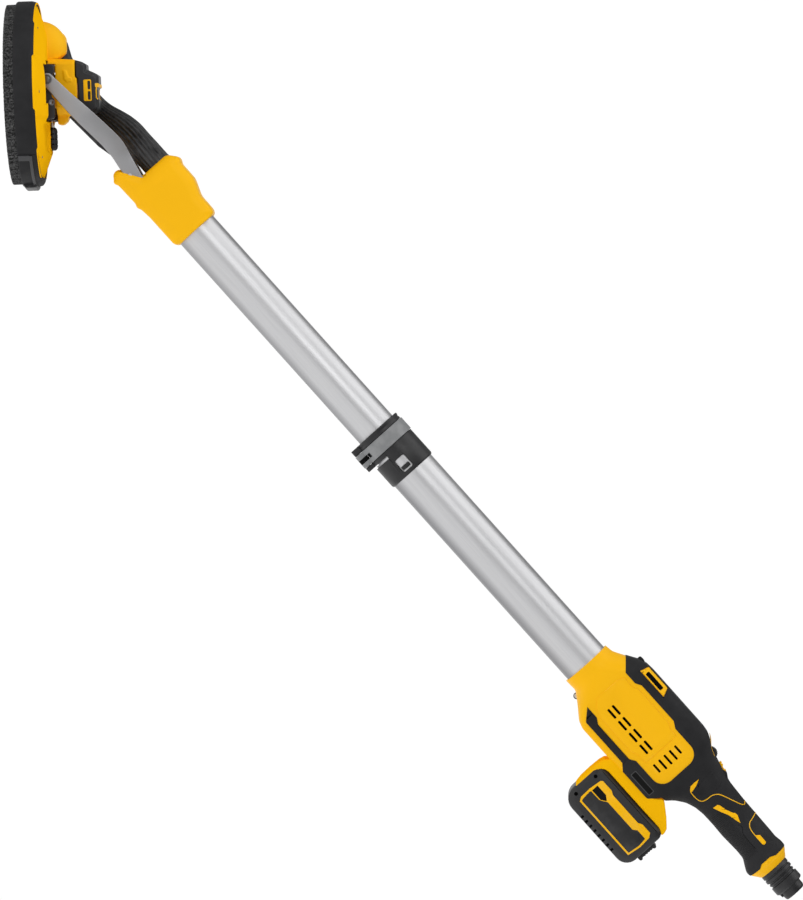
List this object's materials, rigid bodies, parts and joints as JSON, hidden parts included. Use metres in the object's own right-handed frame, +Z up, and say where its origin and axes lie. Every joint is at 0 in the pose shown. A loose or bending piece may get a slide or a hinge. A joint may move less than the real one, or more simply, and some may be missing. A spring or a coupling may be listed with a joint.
{
  "type": "pole drywall sander",
  "caption": "Battery pole drywall sander: gimballed disc head with brush skirt and motor, telescoping tube with clamp, hose, grip housing and slide-on battery.",
  "frame": {"origin": "midway between the head's tip and the hose outlet, on the surface that the sander lies on, in the pole's middle plane", "axes": "+X along the pole from the sanding head to the hose outlet, +Z up, left side -Y"},
  "size_m": [1.5904, 0.249, 0.204],
  "materials": {
    "yellow_plastic": "moulded yellow plastic with a fine grain",
    "black_plastic": "moulded black plastic",
    "soft_grip": "soft black overmould with fine ribs",
    "tube_aluminium": "drawn and anodised aluminium",
    "arm_aluminium": "bead-blasted grey aluminium plate",
    "lever_plastic": "grey moulded plastic",
    "steel": "zinc-plated steel",
    "bronze": "sintered bronze",
    "hose_fabric": "pleated black rubber hose",
    "bristle": "black nylon bristles",
    "pad_rubber": "grey foam rubber",
    "abrasive_paper": "abrasive grains on paper",
    "cell_sleeve": "cell sleeves",
    "circuit": "circuit board",
    "copper": "varnished copper windings on steel"
  },
  "bodies": {
    "handle": {"outer_tube": "tube_aluminium", "clamp_collar": "black_plastic", "collar_key": "black_plastic", "lever_pin": "steel", "housing_left": "yellow_plastic", "housing_right": "yellow_plastic", "overmold_left": "soft_grip", "overmold_right": "soft_grip", "vent_frames": "yellow_plastic", "housing_screws": "steel", "control_module": "circuit", "terminal_block": "black_plastic", "rear_duct": "black_plastic", "duct_seal": "pad_rubber", "end_ring": "yellow_plastic", "hose_connector": "black_plastic"},
    "clamp_lever": {"clamp_lever": "lever_plastic"},
    "speed_dial": {"speed_dial": "black_plastic"},
    "power_switch": {"power_switch": "yellow_plastic"},
    "battery": {"battery_case": "black_plastic", "battery_top": "black_plastic", "battery_cells": "cell_sleeve", "battery_board": "circuit"},
    "battery_latch": {"battery_latch": "black_plastic"},
    "pole": {"inner_tube": "tube_aluminium", "glide_bush": "black_plastic", "pole_head_left": "yellow_plastic", "pole_head_right": "yellow_plastic", "pole_head_screws": "steel", "arm_left": "arm_aluminium", "arm_right": "arm_aluminium", "arm_bolts": "steel", "pivot_bushes": "bronze", "hose_gland": "black_plastic", "cable_channel": "black_plastic", "hose_rear": "hose_fabric"},
    "gimbal": {"gimbal_ring": "black_plastic", "pivot_screws": "steel", "roll_pins": "steel"},
    "roll_knob": {"roll_knob": "black_plastic"},
    "head": {"head_cover": "yellow_plastic", "skirt": "soft_grip", "brush_ring": "bristle", "dust_port": "yellow_plastic", "dust_elbow": "black_plastic", "hose_front": "hose_fabric", "motor_housing": "yellow_plastic", "motor_cap": "black_plastic", "motor_vents": "yellow_plastic", "stator": "copper", "spindle_bearings": "steel", "head_screws": "steel"},
    "edge_gate": {"edge_gate": "black_plastic", "gate_brush": "bristle"},
    "spindle": {"spindle": "steel", "rotor": "steel", "cooling_fan": "black_plastic", "backing_pad": "pad_rubber", "abrasive_disc": "abrasive_paper"}
  },
  "joints": [
    {"name": "telescope", "type": "slide", "parent": "handle", "child": "pole", "axis": [1, 0, 0], "range_m": [0, 0.3]},
    {"name": "lever_swing", "type": "hinge", "parent": "handle", "child": "clamp_lever", "pos_m": [0, -0.003, 0.102], "axis": [1, 0, 0], "range_deg": [0, 80]},
    {"name": "dial_turn", "type": "hinge", "parent": "handle", "child": "speed_dial", "pos_m": [0.58, 0, 0.1865], "axis": [0, 1, 0], "range_deg": [-135, 135]},
    {"name": "switch_slide", "type": "slide", "parent": "handle", "child": "power_switch", "axis": [0.9703, 0, -0.2419], "range_m": [-0.006, 0]},
    {"name": "battery_slide", "type": "slide", "parent": "handle", "child": "battery", "axis": [1, 0, 0], "range_m": [0, 0.13]},
    {"name": "latch_press", "type": "slide", "parent": "battery", "child": "battery_latch", "axis": [-1, 0, 0], "range_m": [0, 0.003], "stiffness_N_per_m": 600, "springref_m": -0.002},
    {"name": "head_pitch", "type": "hinge", "parent": "pole", "child": "gimbal", "pos_m": [-0.68075, 0, 0.13031], "axis": [0, 1, 0], "range_deg": [-15, 60], "deforming": ["hose_rear"]},
    {"name": "head_roll", "type": "hinge", "parent": "gimbal", "child": "head", "pos_m": [-0.68075, 0, 0.13031], "axis": [0.766, 0, -0.6428], "range_deg": [-8, 8], "deforming": ["hose_front"]},
    {"name": "knob_turn", "type": "hinge", "parent": "gimbal", "child": "roll_knob", "pos_m": [-0.68075, 0, 0.13031], "axis": [0.766, 0, -0.6428], "range_deg": [0, 180]},
    {"name": "gate_slide", "type": "slide", "parent": "head", "child": "edge_gate", "axis": [0.766, 0, -0.6428], "range_m": [0, 0.03]},
    {"name": "spindle_spin", "type": "hinge", "parent": "head", "child": "spindle", "pos_m": [-0.6703, 0, 0.11632], "axis": [0.6428, 0, 0.766], "continuous": true}
  ]
}
